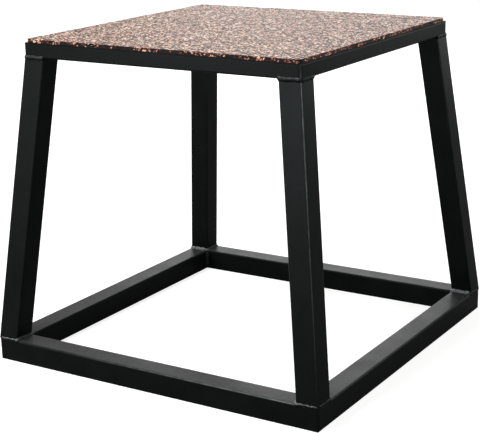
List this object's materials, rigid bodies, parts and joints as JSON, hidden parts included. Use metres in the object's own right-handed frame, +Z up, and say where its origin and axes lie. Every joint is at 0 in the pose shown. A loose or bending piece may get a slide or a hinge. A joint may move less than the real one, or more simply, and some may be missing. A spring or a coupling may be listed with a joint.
{
  "type": "plyo box",
  "caption": "Open steel jump box: a square floor ring, splayed tube legs and a smaller top ring that carries a deck plate and a flecked rubber landing tile.",
  "frame": {"origin": "on the floor, under the middle of the box", "axes": "+Z up, +X to the right along the front, -Y out of the front"},
  "size_m": [0.6426, 0.6426, 0.561],
  "materials": {
    "tube_paint": "black satin powder coat",
    "weld_paint": "black satin powder coat over weld ripples",
    "deck_paint": "black satin powder coat",
    "rubber": "granular crumb rubber, black with red, orange and pale flecks"
  },
  "bodies": {
    "root": {"base_rail_front": "tube_paint", "top_rail_front": "tube_paint", "base_rail_back": "tube_paint", "top_rail_back": "tube_paint", "base_rail_left": "tube_paint", "top_rail_left": "tube_paint", "base_rail_right": "tube_paint", "top_rail_right": "tube_paint", "leg_front_left": "tube_paint", "leg_front_right": "tube_paint", "leg_back_left": "tube_paint", "leg_back_right": "tube_paint", "leg_foot_weld_front_left": "weld_paint", "leg_foot_weld_front_right": "weld_paint", "leg_foot_weld_back_left": "weld_paint", "leg_foot_weld_back_right": "weld_paint", "leg_head_weld_front_left": "weld_paint", "leg_head_weld_front_right": "weld_paint", "leg_head_weld_back_left": "weld_paint", "leg_head_weld_back_right": "weld_paint", "base_corner_weld_front_left": "weld_paint", "base_corner_weld_front_right": "weld_paint", "base_corner_weld_back_left": "weld_paint", "base_corner_weld_back_right": "weld_paint", "top_corner_weld_front_left": "weld_paint", "top_corner_weld_front_right": "weld_paint", "top_corner_weld_back_left": "weld_paint", "top_corner_weld_back_right": "weld_paint", "deck_stitch_welds": "weld_paint", "deck_plate": "deck_paint", "rubber_tile": "rubber"}
  },
  "joints": []
}
